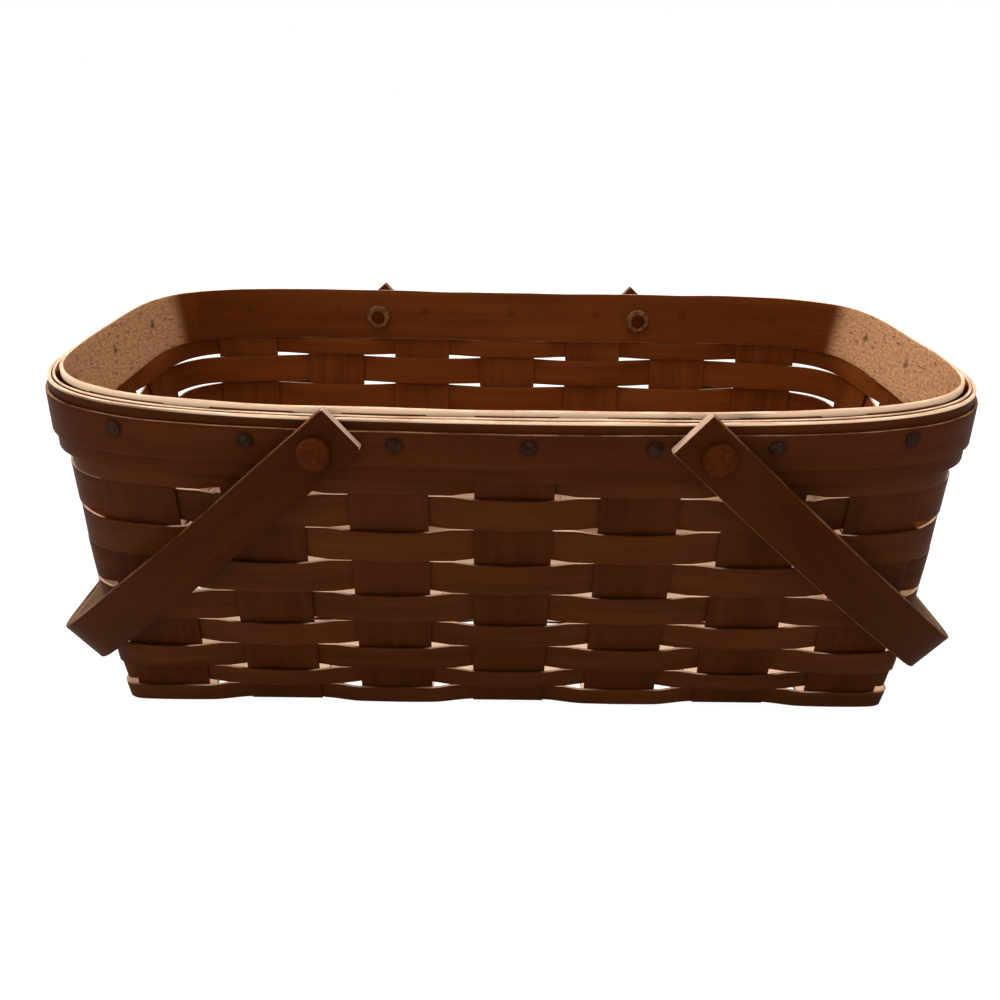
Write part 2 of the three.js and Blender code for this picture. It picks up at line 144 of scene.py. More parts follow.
# Layers of the wall, as sideways distances from the middle of the uprights
stake_half = STAKE_THICKNESS / 2
weaver_middle = stake_half + GAP + WEAVER_THICKNESS / 2
filler_middle = stake_half + GAP + FILLER_THICKNESS / 2
outer_band_inside = stake_half + 2 * GAP + max(FILLER_THICKNESS, WEAVER_THICKNESS + TIGHT_CROWN)
outer_band_middle = outer_band_inside + BAND_THICKNESS / 2
outer_band_outside = outer_band_inside + BAND_THICKNESS
trim_middle = outer_band_outside + GAP + TRIM_THICKNESS / 2
trim_outside = trim_middle + TRIM_THICKNESS / 2
inner_band_middle = -stake_half - GAP - BAND_THICKNESS / 2
inner_band_inside = inner_band_middle - BAND_THICKNESS / 2

# Heights of the rows and of the rim's pieces
row_low = []
row_high = []
for row_width in ROW_WIDTHS:
    row_low.append(row_high[-1] + ROW_SLIT if row_high else ROW_BOTTOM)
    row_high.append(row_low[-1] + row_width)
weave_top = row_high[-1]
inner_band_low = weave_top + GAP
inner_band_high = inner_band_low + INNER_BAND_WIDTH
outer_band_low = weave_top - OUTER_BAND_LAP
rim_top = outer_band_low + OUTER_BAND_WIDTH
trim_high = rim_top - TRIM_BELOW_RIM
trim_low = trim_high - TRIM_WIDTH
stake_top = inner_band_high - STAKE_BELOW_RIM
filler_low = stake_top - FILLER_WIDTH
tack_height = rim_top - TACK_BELOW_RIM
peg_height = rim_top - PEG_BELOW_RIM
floor_middle = stake_half + FLOOR_RISE
floor_top = 2 * floor_middle

# Half sizes of the surface through the middle of the uprights
rim_half_length = RIM_LENGTH / 2 - outer_band_outside
rim_half_width = RIM_WIDTH / 2 - outer_band_outside
base_half_length = RIM_LENGTH / 2 - END_FLARE - stake_half
base_half_width = RIM_WIDTH / 2 - SIDE_FLARE - stake_half


def spread(count, spacing):
    return [(index - (count - 1) / 2) * spacing for index in range(count)]


cross_stake_xs = spread(CROSS_STAKE_COUNT, CROSS_STAKE_WIDTH + CROSS_STAKE_GAP)
long_stake_ys = spread(LONG_STAKE_COUNT, LONG_STAKE_WIDTH + LONG_STAKE_GAP)

# The pegs stand midway between two uprights.
peg_x = 1.5 * (CROSS_STAKE_WIDTH + CROSS_STAKE_GAP)


def blend_values(start, end, share):
    return start + (end - start) * share


def smooth_share(low, high, value):
    share = min(max((value - low) / (high - low), 0), 1)
    return share * share * (3 - 2 * share)


def ragged(place, along, seed, size):
    """A slow, even wander along a strip, up to about its size."""
    return size * noise.noise(Vector((along * place, seed * 7.3, seed * 1.7)))


# The wall: a rounded rectangle that grows and rounds its corners on the way up


def wall_size(z):
    share = z / rim_top
    roundness = blend_values(1 / BASE_SQUARENESS, 1 / RIM_SQUARENESS, abs(share) ** ROUNDING_POWER)
    half_length = blend_values(base_half_length, rim_half_length, share)
    half_width = blend_values(base_half_width, rim_half_width, share)
    return half_length, half_width, 1 / roundness


def unit_at_angle(angle, z):
    """A place round the wall at a height, where each wall is 1 away from the middle."""
    power = wall_size(z)[2]
    u, v = math.cos(angle), math.sin(angle)
    scale = (abs(u) ** power + abs(v) ** power) ** (-1 / power)
    return u * scale, v * scale


def unit_on_side(kind, side, at, z):
    half_length, half_width, power = wall_size(z)
    share = at / (half_length if kind == "cross" else half_width)
    other = side * (1 - abs(share) ** power) ** (1 / power)
    return (share, other) if kind == "cross" else (other, share)


def wall_outward(unit, z):
    half_length, half_width, power = wall_size(z)
    u, v = unit
    return Vector((
        math.copysign(abs(u) ** (power - 1), u) / half_length,
        math.copysign(abs(v) ** (power - 1), v) / half_width,
        0,
    )).normalized()


def wall_point(unit, z, offset=0):
    half_length, half_width, _ = wall_size(z)
    lift = RIM_RISE * (z / rim_top) ** 2 * unit[0] ** 2
    point = Vector((unit[0] * half_length, unit[1] * half_width, z + lift))
    return point + wall_outward(unit, z) * offset


# Working in Blender


def only(piece):
    bpy.ops.object.select_all(action="DESELECT")
    piece.select_set(True)
    bpy.context.view_layer.objects.active = piece


def modified(piece, kind, **settings):
    only(piece)
    modifier = piece.modifiers.new(kind.title(), kind)
    for name, value in settings.items():
        setattr(modifier, name, value)
    bpy.ops.object.modifier_apply(modifier=modifier.name)


def flat_strip(name, along, across, faces):
    """A flat grid to lay on a path, with the materials for its outer face, inner face and edges."""
    bpy.ops.object.select_all(action="DESELECT")
    bpy.ops.mesh.primitive_grid_add(x_subdivisions=along, y_subdivisions=across, size=2)
    piece = bpy.context.active_object
    piece.name = name
    piece.data.name = name
    for material in faces:
        piece.data.materials.append(material)
    return piece


def lay_strip(piece, along, across, place, width):
    """Moves each point of the flat strip to its place, and makes its UV map the strip's own flat size."""
    mesh = piece.data
    cells = [
        (round((v.co.x + 1) / 2 * along), round((v.co.y + 1) / 2 * across)) for v in mesh.vertices
    ]
    middle = [place(i, across / 2) for i in range(along + 1)]
    reach = [0]
    for before, after in zip(middle, middle[1:]):
        reach.append(reach[-1] + (after - before).length)
    uv = mesh.uv_layers.active
    uv.name = "strip"
    start = sum(ord(letter) for letter in piece.name) * 0.37
    for loop in mesh.loops:
        i, j = cells[loop.vertex_index]
        uv.data[loop.index].uv = (reach[i] * MM + start, width * MM * (j / across - 0.5) + start * 0.13)
    for vertex, (i, j) in zip(mesh.vertices, cells):
        vertex.co = place(i, j) * MM


def close_ends(piece):
    only(piece)
    bpy.ops.object.mode_set(mode="EDIT")
    bpy.ops.mesh.select_all(action="SELECT")
    bpy.ops.mesh.remove_doubles(threshold=0.02 * MM)
    bpy.ops.object.mode_set(mode="OBJECT")


def thicken(piece, thickness, edge_radius, segments=2):
    """Gives a laid strip its thickness. Its inner face and its edges get the second and third material."""
    modified(
        piece, "SOLIDIFY", thickness=thickness * MM, offset=0, use_even_offset=True,
        use_quality_normals=True, material_offset=1, material_offset_rim=2,
    )
    modified(
        piece, "BEVEL", width=edge_radius * MM, segments=segments, limit_method="ANGLE",
        angle_limit=math.radians(50), use_clamp_overlap=True,
    )
    only(piece)
    bpy.ops.object.shade_smooth_by_angle(angle=math.radians(50))


def bore_along_y(piece, middle, radius, length):
    """Drills a hole along Y through both arms of a handle."""
    bpy.ops.object.select_all(action="DESELECT")
    bpy.ops.mesh.primitive_cylinder_add(
        vertices=40, radius=radius * MM, depth=length * MM, location=middle * MM,
        rotation=(math.pi / 2, 0, 0),
    )
    drill = bpy.context.active_object
    modified(piece, "BOOLEAN", operation="DIFFERENCE", object=drill, solver="EXACT")
    bpy.data.objects.remove(drill)


def stands_for(piece, body, node):
    """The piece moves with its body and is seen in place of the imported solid."""
    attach(piece, body)
    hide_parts(node)


def turned(name, profile, steps, place, material):
    """A turned piece: its profile of radius and height goes round its axis, and then to its place."""
    mesh = bpy.data.meshes.new(name)
    mesh.materials.append(material)
    points = [(radius * MM, 0, height * MM) for radius, height in profile]
    mesh.from_pydata(points, [(i, i + 1) for i in range(len(points) - 1)], [])
    piece = bpy.data.objects.new(name, mesh)
    bpy.context.scene.collection.objects.link(piece)
    only(piece)
    bpy.ops.object.mode_set(mode="EDIT")
    bpy.ops.mesh.select_all(action="SELECT")
    bpy.ops.mesh.spin(steps=steps, angle=2 * math.pi, center=(0, 0, 0), axis=(0, 0, 1))
    bpy.ops.mesh.select_all(action="SELECT")
    bpy.ops.mesh.remove_doubles(threshold=0.002 * MM)
    bpy.ops.mesh.normals_make_consistent(inside=False)
    bpy.ops.object.mode_set(mode="OBJECT")
    bpy.ops.object.shade_smooth_by_angle(angle=math.radians(40))
    mesh.transform(place)
    return piece


# Shader maths


class Value:
    """A shader socket that adds Math nodes as it is worked with."""

    def __init__(self, sheet, socket):
        self.sheet = sheet
        self.socket = socket

    def _math(self, operation, *inputs):
        return self.sheet.node("ShaderNodeMath", {"operation": operation}, dict(enumerate(inputs)))

    def __add__(self, other):
        return self._math("ADD", self, other)

    __radd__ = __add__

    def __sub__(self, other):
        return self._math("SUBTRACT", self, other)

    def __mul__(self, other):
        return self._math("MULTIPLY", self, other)

    __rmul__ = __mul__

    def between(self, low, high):
        """0 below low, 1 above high, and straight in between."""
        settings = {"clamp": True}
        inputs = {"Value": self, "From Min": low, "From Max": high, "To Min": 0.0, "To Max": 1.0}
        return self.sheet.node("ShaderNodeMapRange", settings, inputs)


GLOSS = 0.03


class Sheet:
    """One material's nodes."""

    def __init__(self, name):
        self.material = bpy.data.materials.new(name)
        self.material.use_nodes = True
        self.tree = self.material.node_tree
        self.shader = self.tree.nodes["Principled BSDF"]

    def set(self, socket, value):
        if isinstance(value, Value):
            self.tree.links.new(value.socket, socket)
        else:
            socket.default_value = value

    def node(self, kind, settings=None, inputs=None, output=0):
        node = self.tree.nodes.new(kind)
        for name, value in (settings or {}).items():
            setattr(node, name, value)
        for key, value in (inputs or {}).items():
            self.set(node.inputs[key], value)
        return Value(self, node.outputs[output])

    def strip_place(self, along, across):
        """The place on the flat strip, with its length and its width scaled apart."""
        uv = self.node("ShaderNodeUVMap", {"uv_map": "strip"})
        inputs = {0: uv, 1: (along, across, 1)}
        return self.node("ShaderNodeVectorMath", {"operation": "MULTIPLY"}, inputs)

    def object_place(self, scale):
        place = self.node("ShaderNodeTexCoord", output="Object")
        return self.node("ShaderNodeVectorMath", {"operation": "MULTIPLY"}, {0: place, 1: scale})

    def height(self):
        place = self.node("ShaderNodeTexCoord", output="Object")
        return self.node("ShaderNodeSeparateXYZ", inputs={0: place}, output=2)

    def noise(self, place, detail=2.0, rough=0.5, distortion=0.0):
        inputs = {
            "Vector": place, "Scale": 1.0, "Detail": detail, "Roughness": rough, "Distortion": distortion,
        }
        return self.node("ShaderNodeTexNoise", inputs=inputs)

    def attribute(self, name):
        return self.node("ShaderNodeAttribute", {"attribute_name": name}, output="Fac")

    def mix(self, share, first, second):
        node = self.tree.nodes.new("ShaderNodeMix")
        node.data_type = "RGBA"
        self.set(node.inputs["Factor"], share)
        for socket, value in ((node.inputs[6], first), (node.inputs[7], second)):
            self.set(socket, value)
        return Value(self, node.outputs[2])

    def bump(self, height, strength, distance):
        inputs = {"Height": height, "Strength": strength, "Distance": distance}
        return self.node("ShaderNodeBump", inputs=inputs)

    def finish(self, color, roughness, normal):
        inputs = {
            "Base Color": color, "Roughness": roughness, "Normal": normal, "Specular IOR Level": GLOSS,
        }
        for name, value in inputs.items():
            self.set(self.shader.inputs[name], value)
        return self.material


def shade(red, green, blue):
    """A colour as a paint chart gives it, from 0 to 255, as the shader's linear colour."""
    parts = [part / 255 for part in (red, green, blue)]
    linear = [part / 12.92 if part <= 0.04045 else ((part + 0.055) / 1.055) ** 2.4 for part in parts]
    return (*linear, 1)


# Finishes


def stained_splint(
    name, dark, middle, light,
    tack_marks=None, lit_end_colours=None, lip_wear_and_highlight=None, raw_lit_floor=None, grip_wear_and_light_colour=None,
):
    """Stained wood splint with its grain along the strip. Tack marks, the pale ends (painted light), the
    pale lip of the rim (wear and a painted highlight) and the pale grips (wear and painted light) come from
    attributes, and the pale floor deep inside the basket (raw wood and painted light) from the height."""
    sheet = Sheet(name)
    cloud = sheet.noise(sheet.strip_place(9, 26), detail=3.0, distortion=0.6)
    streak = sheet.noise(sheet.strip_place(7, 190), detail=4.0, rough=0.6, distortion=0.5)
    fibre = sheet.noise(sheet.strip_place(24, 1500), detail=3.0, rough=0.7)
    pore = sheet.noise(sheet.strip_place(120, 1900), detail=2.0)
    color = sheet.mix(cloud.between(0.3, 0.7), dark, middle)
    color = sheet.mix(streak.between(0.42, 0.8) * 0.38, color, light)
    # Wear and painted light: the handle's inner face turns pale tan towards the grip.
    if grip_wear_and_light_colour is not None:
        color = sheet.mix(sheet.attribute("grip") * (0.7 + 0.4 * cloud), color, grip_wear_and_light_colour)
    color = sheet.mix(fibre.between(0.5, 0.8) * 0.25, color, light)
    color = sheet.mix(pore.between(0.62, 0.72) * 0.35, color, shade(24, 9, 3))
    # Deep inside, the faces turn pale towards the floor: raw wood and painted light.
    if raw_lit_floor is not None:
        lit_deep = sheet.height().between(0.085, 0.035)
        color = sheet.mix(lit_deep * (0.75 + 0.25 * streak), color, raw_lit_floor)
    # Painted light: inner faces that look towards an end turn pale tan, a painted sheen of grazing light,
    # with fuzz and dark scars in it.
    if lit_end_colours is not None:
        fuzz = sheet.noise(sheet.strip_place(260, 900), detail=4.0, rough=0.75)
        scar = sheet.noise(sheet.strip_place(130, 620), detail=3.0, distortion=0.8)
        tan = sheet.mix(fuzz.between(0.33, 0.67), lit_end_colours[0], lit_end_colours[1])
        tan = sheet.mix(scar.between(0.6, 0.68) * 0.7, tan, shade(70, 44, 28))
        worn = sheet.attribute("worn")
        color = sheet.mix(worn, color, tan)
    # Wear and a painted highlight: the top of the outer band's face turns pale.
    if lip_wear_and_highlight is not None:
        lip = sheet.attribute("lip").between(-0.25, 0.3)
        color = sheet.mix(lip * cloud.between(0.2, 0.42), color, lip_wear_and_highlight)
    if tack_marks is not None:
        start, strength = tack_marks
        halo = sheet.attribute("halo").between(start, 1)
        # On the inner band the tack marks are full only where the ends' painted light is.
        if lit_end_colours is not None:
            halo = halo * (0.35 + 0.65 * worn)
        color = sheet.mix(halo * (strength * (0.5 + 0.6 * cloud)), color, shade(20, 8, 4))
    height = fibre * 0.6 + streak * 0.8 - pore.between(0.6, 0.75) * 0.4
    return sheet.finish(color, 0.4 + 0.25 * fibre, sheet.bump(height, 0.3, 0.0003))


def raw_edge(name, pale, brown, raw_and_lit=None, raw_and_lit_where=""):
    """The cut edge of a splint, where the stain is thin. Where the attribute says so, a painted highlight
    turns it near white.
    """
    sheet = Sheet(name)
    length_wear = sheet.noise(sheet.strip_place(45, 60), detail=4.0, rough=0.6)
    fine = sheet.noise(sheet.object_place((500, 500, 900)), detail=3.0)
    color = sheet.mix(length_wear.between(0.36, 0.62), brown, pale)
    color = sheet.mix(fine.between(0.45, 0.75) * 0.4, color, brown)
    # Painted highlight where the attribute says so.
    if raw_and_lit is not None:
        color = sheet.mix(sheet.attribute(raw_and_lit_where) * (0.7 + 0.3 * length_wear), color, raw_and_lit)
    return sheet.finish(color, 0.62, sheet.bump(fine, 0.3, 0.0003))


def turned_wood(name, dark, light):
    """Stained turned wood. The end grain's rings lie round the peg's own axis, which runs along Y."""
    sheet = Sheet(name)
    rings = sheet.noise(sheet.object_place((330, 40, 330)), detail=3.0, distortion=1.2)
    fleck = sheet.noise(sheet.object_place((1300, 300, 1300)), detail=3.0)
    color = sheet.mix(rings.between(0.35, 0.68), dark, light)
    color = sheet.mix(fleck.between(0.52, 0.7) * 0.45, color, shade(36, 14, 4))
    return sheet.finish(color, 0.42 + 0.2 * fleck, sheet.bump(rings + fleck * 0.6, 0.25, 0.0004))


def iron(name):
    """Dull dark iron with a little rust."""
    sheet = Sheet(name)
    rust = sheet.noise(sheet.object_place((420, 420, 420)), detail=4.0, rough=0.65)
    color = sheet.mix(rust.between(0.4, 0.65), shade(34, 20, 13), shade(62, 41, 29))
    sheet.set(sheet.shader.inputs["Metallic"], 0.15)
    return sheet.finish(color, 0.5 + 0.25 * rust, sheet.bump(rust, 0.4, 0.0003))


# Pale raw wood low inside the basket, with painted light on it.
raw_lit_floor = shade(240, 204, 174)
weaver_wood = stained_splint("weaver_wood", shade(62, 28, 7), shade(78, 38, 11), shade(98, 52, 18))
weaver_inside = stained_splint(
    "weaver_inside_wood", shade(86, 38, 9), shade(106, 51, 15), shade(128, 68, 24), raw_lit_floor=raw_lit_floor,
)
stake_wood = stained_splint("upright_wood", shade(58, 24, 5), shade(71, 32, 8), shade(88, 44, 14))
stake_inside = stained_splint(
    "upright_inside_wood", shade(84, 36, 9), shade(104, 50, 15), shade(128, 70, 26), raw_lit_floor=raw_lit_floor,
)
# The pale lip at the top of the rim is wear and a painted highlight.
band_wood = stained_splint(
    "band_wood", shade(60, 25, 5), shade(71, 31, 7), shade(90, 44, 14), tack_marks=(0.25, 0.9),
    lip_wear_and_highlight=shade(255, 220, 184),
)
# Its end faces turn pale tan: painted light.
band_inside = stained_splint(
    "band_inside_wood", shade(84, 37, 10), shade(101, 49, 14), shade(122, 64, 22), tack_marks=(0.75, 0.8),
    lit_end_colours=(shade(140, 96, 64), shade(214, 162, 118)),
)
handle_wood = stained_splint("handle_wood", shade(52, 20, 2), shade(63, 26, 2), shade(78, 36, 7))
# Its inner face turns pale tan towards the grip: wear and painted light.
handle_inner = stained_splint(
    "handle_inner_wood", shade(60, 25, 5), shade(74, 34, 8), shade(96, 52, 20),
    grip_wear_and_light_colour=shade(178, 142, 110),
)
# The weavers' edges turn near white where the rows cross: painted light in the slits.
splint_edge = raw_edge(
    "splint_edge_wood", shade(98, 50, 20), shade(62, 28, 8), shade(240, 200, 168), "crossing",
)
# The rim's band and trim edges are pale raw wood with a painted highlight.
band_edge = raw_edge("band_edge_wood", shade(255, 216, 184), shade(212, 160, 124))
trim_edge = raw_edge("trim_edge_wood", shade(162, 118, 84), shade(84, 44, 20))
# The handles' cut ends: raw end grain with a painted highlight.
handle_edge = raw_edge(
    "handle_edge_wood", shade(124, 80, 50), shade(70, 34, 10), shade(206, 168, 144), "cut_end",
)
peg_wood = turned_wood("peg_wood", shade(60, 22, 2), shade(82, 34, 4))
# The washers are paler than the pegs: a painted highlight.
washer_wood = turned_wood("washer_wood", shade(84, 46, 22), shade(132, 90, 60))
tack_iron = iron("tack_iron")


# Hoops: weavers and bands

SEAM_ANGLE = math.radians(138.5)
FINE_STEPS = 2880
EDGE_WAVE = 0.03
SIDE_WAVE = 0.021


class Round:
    """One turn round the wall at a height, measured along its length from the rear left corner."""

    def __init__(self, z):
        self.z = z
        self.angles = [SEAM_ANGLE + 2 * math.pi * i / FINE_STEPS for i in range(FINE_STEPS + 1)]
        points = [wall_point(unit_at_angle(angle, z), z) for angle in self.angles]
        self.reach = [0]
        for before, after in zip(points, points[1:]):
            self.reach.append(self.reach[-1] + (after - before).length)
        self.length = self.reach[-1]

    def angle_at(self, length):
        low, high = 0, FINE_STEPS
        while high - low > 1:
            middle = (low + high) // 2
            if self.reach[middle] <= length:
                low = middle
            else:
                high = middle
        share = (length - self.reach[low]) / (self.reach[high] - self.reach[low])
        return blend_values(self.angles[low], self.angles[high], share)

    def length_at(self, unit):
        angle = math.atan2(unit[1], unit[0])
        turn = (angle - SEAM_ANGLE) % (2 * math.pi)
        index = turn / (2 * math.pi) * FINE_STEPS
        low = min(int(index), FINE_STEPS - 1)
        return blend_values(self.reach[low], self.reach[low + 1], index - low)


def wall_uprights():
    """The uprights of each side in turn, and how the top row passes them: 1 outside, -1 inside."""
    sides = (
        ("cross", -1, cross_stake_xs, CROSS_STAKE_WIDTH),
        ("long", 1, long_stake_ys, LONG_STAKE_WIDTH),
        ("cross", 1, cross_stake_xs, CROSS_STAKE_WIDTH),
        ("long", -1, long_stake_ys, LONG_STAKE_WIDTH),
    )
    for kind, side, places, width in sides:
        for index, place in enumerate(places):
            even = (index - (len(places) - 1) // 2) % 2 == 0
            outside = -1 if even else 1
            yield kind, side, place, width, outside if kind == "cross" else -outside


def weaver_path(turn, passing, crown):
    """How far out the weaver's middle is at each length along its turn: bowed over an upright,
    and smooth from one upright to the next."""
    spans = []
    for kind, side, place, width, outside in wall_uprights():
        ends = sorted(
            turn.length_at(unit_on_side(kind, side, place + half * width / 2, turn.z)) for half in (-1, 1)
        )
        spans.append((ends[0], ends[1], outside * passing))
    spans.sort()
    first, last = spans[0], spans[-1]
    spans = [(last[0] - turn.length, last[1] - turn.length, last[2]), *spans]
    spans.append((first[0] + turn.length, first[1] + turn.length, first[2]))

    def offset(length):
        for (start, end, sign), (next_start, next_end, next_sign) in zip(spans, spans[1:]):
            if start <= length <= end:
                share = 2 * (length - start) / (end - start) - 1
                return sign * (weaver_middle + crown * (1 - share * share))
            if end < length < next_start:
                gap = next_start - end
                share = (length - end) / gap
                leave = -sign * 4 * crown / (end - start) * gap
                arrive = next_sign * 4 * crown / (next_end - next_start) * gap
                square, cube = share * share, share ** 3
                return (
                    sign * weaver_middle * (2 * cube - 3 * square + 1) + leave * (cube - 2 * square + share)
                    + next_sign * weaver_middle * (3 * square - 2 * cube) + arrive * (cube - square)
                )
        start, end, sign = spans[-1]
        share = 2 * (length - start) / (end - start) - 1
        return sign * (weaver_middle + crown * (1 - share * share))

    return offset


def hoop(name, turn, low, high, thickness, offset, edge_radius, wander, seed, faces):
    """A splint round the whole basket between two heights. low, high and offset depend on the place."""
    along = round(turn.length / MESH_STEP)
    across = max(3, round((high(0) - low(0)) / (1.6 * MESH_STEP)))
    lengths = [turn.length * i / along for i in range(along + 1)]
    angles = [turn.angle_at(length) for length in lengths]
    offsets = [offset(length) for length in lengths]

    def place(i, j):
        fade = min(1, 8 * min(i, along - i) / along)
        length = lengths[i]
        bottom = low(length) + fade * ragged(length, EDGE_WAVE, seed, wander)
        top = high(length) + fade * ragged(length, EDGE_WAVE, seed + 40, wander)
        z = blend_values(bottom, top, j / across)
        shift = fade * ragged(length, SIDE_WAVE, seed + 80, wander * 0.4)
        return wall_point(unit_at_angle(angles[i], z), z, offsets[i] + shift)

    piece = flat_strip(name, along, across, faces)
    lay_strip(piece, along, across, place, high(0) - low(0))
    close_ends(piece)
    thicken(piece, thickness, edge_radius)
    return piece


def always(value):
    return lambda length: value


def packed(height, turn, path, toward):
    """The height of a row's edge. The front's rows meet where they cross, and part beside each upright."""
    def edge(length):
        crossing = 1 - min(1, abs(path(length)) / weaver_middle)
        in_front = smooth_share(0.1, -0.4, math.sin(turn.angle_at(length)))
        return height + toward * (SLIT_CLOSING * crossing - SLIT_OPENING) * in_front
    return edge


def mark_crossing_light(piece, turn, path):
    """Writes how far each point is from the uprights, where the rows cross and their edges get a painted
    highlight.
    """
    crossing = piece.data.attributes.new("crossing", "FLOAT", "POINT")
    half_length, half_width, _ = wall_size(turn.z)
    for vertex in piece.data.vertices:
        length = turn.length_at((vertex.co.x / MM / half_length, vertex.co.y / MM / half_width))
        crossing.data[vertex.index].value = smooth_share(1.15, 0.9, abs(path(length)) / weaver_middle)


for row in range(len(ROW_WIDTHS)):
    passing = 1 if (len(ROW_WIDTHS) - 1 - row) % 2 == 0 else -1
    tight = row in (0, len(ROW_WIDTHS) - 1)
    turn = Round((row_low[row] + row_high[row]) / 2)
    path = weaver_path(turn, passing, TIGHT_CROWN if tight else WEAVER_CROWN)
    low = packed(row_low[row], turn, path, -1)
    if row == 0:
        # Inside an upright, the lowest row's edge rises over the fold.
        def low(length, path=path):
            inside = smooth_share(-1.01, -1.05, path(length) / weaver_middle)
            return blend_values(ROW_BOTTOM, floor_top + GAP, inside)
    high = packed(row_high[row], turn, path, 1)
    wander = TIGHT_WANDER if tight else WEAVER_WANDER
    weaver = hoop(
        f"woven_row_{row + 1}", turn, low, high, WEAVER_THICKNESS, path, SPLINT_EDGE_RADIUS,
        wander, row + 1, (weaver_wood, weaver_inside, splint_edge),
    )
    mark_crossing_light(weaver, turn, path)
    stands_for(weaver, "basket", f"weaver_{row + 1}")


# Uprights: down one wall, across the bottom and up the other wall


def floor_wave(kind, index, crossings, crossing_width, reach):
    """The height of a floor splint's middle along its length: over one crossing splint, under the next,
    and down on the ground where it turns up into the wall."""
    middle_crossing = (CROSS_STAKE_COUNT - 1) // 2 + (LONG_STAKE_COUNT - 1) // 2

    def height(at):
        total = 0
        for crossing_index, crossing in enumerate(crossings):
            even = (index + crossing_index - middle_crossing) % 2 == 0
            under = even if kind == "cross" else not even
            near = 1 - smooth_share(
                crossing_width / 2, crossing_width / 2 + FLOOR_EASE, abs(at - crossing),
            )
            total += near * (-1 if under else 1)
        grounded = smooth_share(reach - TURN_UP_START, reach - TURN_UP_END, abs(at))
        return blend_values(floor_middle + FLOOR_RISE * total, stake_half, grounded)

    return height


def stake(kind, index, at, width, crossings, crossing_width):
    cell = 1.4 * MESH_STEP
    wall_steps = round(stake_top / cell)
    fold_steps = 6
    base_half = base_half_width if kind == "cross" else base_half_length
    floor_steps = round(2 * base_half / cell)
    across = round(width / 4)
    along = 2 * wall_steps + 2 * fold_steps + floor_steps
    wave = floor_wave(kind, index, crossings, crossing_width, base_half)
    axis = 1 if kind == "cross" else 0

    def line(x):
        heights = [blend_values(stake_top, FOLD, step / wall_steps) for step in range(wall_steps + 1)]
        wall = {}
        reach = {}
        for side in (-1, 1):
            wall[side] = [wall_point(unit_on_side(kind, side, x, z), z) for z in heights]
            reach[side] = wall_point(unit_on_side(kind, side, x, stake_half), stake_half)[axis]

        def floor_point(place):
            other = (x, place) if kind == "cross" else (place, x)
            return Vector((*other, wave(place)))

        def fold(side):
            top = wall[side][-1]
            corner = floor_point(reach[side])
            end = floor_point(reach[side] - side * FOLD)
            bends = []
            for step in range(1, fold_steps + 1):
                share = step / fold_steps
                bends.append(top * (1 - share) ** 2 + corner * 2 * share * (1 - share) + end * share ** 2)
            return bends

        start, end = reach[-1] + FOLD, reach[1] - FOLD
        floor = [
            floor_point(blend_values(start, end, step / floor_steps)) for step in range(1, floor_steps + 1)
        ]
        return wall[-1] + fold(-1) + floor + fold(1)[-2::-1] + wall[1][::-1]

    lines = [line(at + (j / across - 0.5) * width) for j in range(across + 1)]
    middle_line = line(at)

    def place(i, j):
        return lines[int(j)][i] if j == int(j) else middle_line[i]

    faces = (stake_wood, stake_inside, splint_edge)
    piece = flat_strip(f"upright_{kind}_{index + 1}", along, across, faces)
    lay_strip(piece, along, across, place, width)
    if kind == "long":
        only(piece)
        bpy.ops.object.mode_set(mode="EDIT")
        bpy.ops.mesh.select_all(action="SELECT")
        bpy.ops.mesh.flip_normals()
        bpy.ops.object.mode_set(mode="OBJECT")
    thicken(piece, STAKE_THICKNESS, SPLINT_EDGE_RADIUS)
    stands_for(piece, "basket", f"{kind}_stake_{index + 1}")


for index, x in enumerate(cross_stake_xs):
    stake("cross", index, x, CROSS_STAKE_WIDTH, long_stake_ys, LONG_STAKE_WIDTH)
for index, y in enumerate(long_stake_ys):
    stake("long", index, y, LONG_STAKE_WIDTH, cross_stake_xs, CROSS_STAKE_WIDTH)


# Rim, with dark marks round the tacks and pegs

tack_places = []
for kind, side, place, width, outside in wall_uprights():
    order = place if (kind, side) in (("cross", -1), ("long", 1)) else -place
    in_front = (kind, side) == ("cross", -1)
    aside = FRONT_TACKS_ASIDE[cross_stake_xs.index(place)] if in_front else TACK_ASIDE
    unit = unit_on_side(kind, side, place, tack_height)
    middle = wall_point(unit, tack_height)
    up = (wall_point(unit_on_side(kind, side, place, rim_top), rim_top)
          - wall_point(unit_on_side(kind, side, place, outer_band_low), outer_band_low)).normalized()
    outward = wall_outward(unit, tack_height)
    axis = (outward - up * outward.dot(up)).normalized()
    side_number = (("cross", -1), ("long", 1), ("cross", 1), ("long", -1)).index((kind, side))
    tack_places.append((side_number, order, middle + axis.cross(up) * aside, axis, up, axis.dot(outward)))
tack_places.sort(key=lambda entry: entry[:2])
peg_middles = [
    Vector((side_x * peg_x, side_y * rim_half_width, peg_height))
    for side_x in (-1, 1) for side_y in (-1, 1)
]


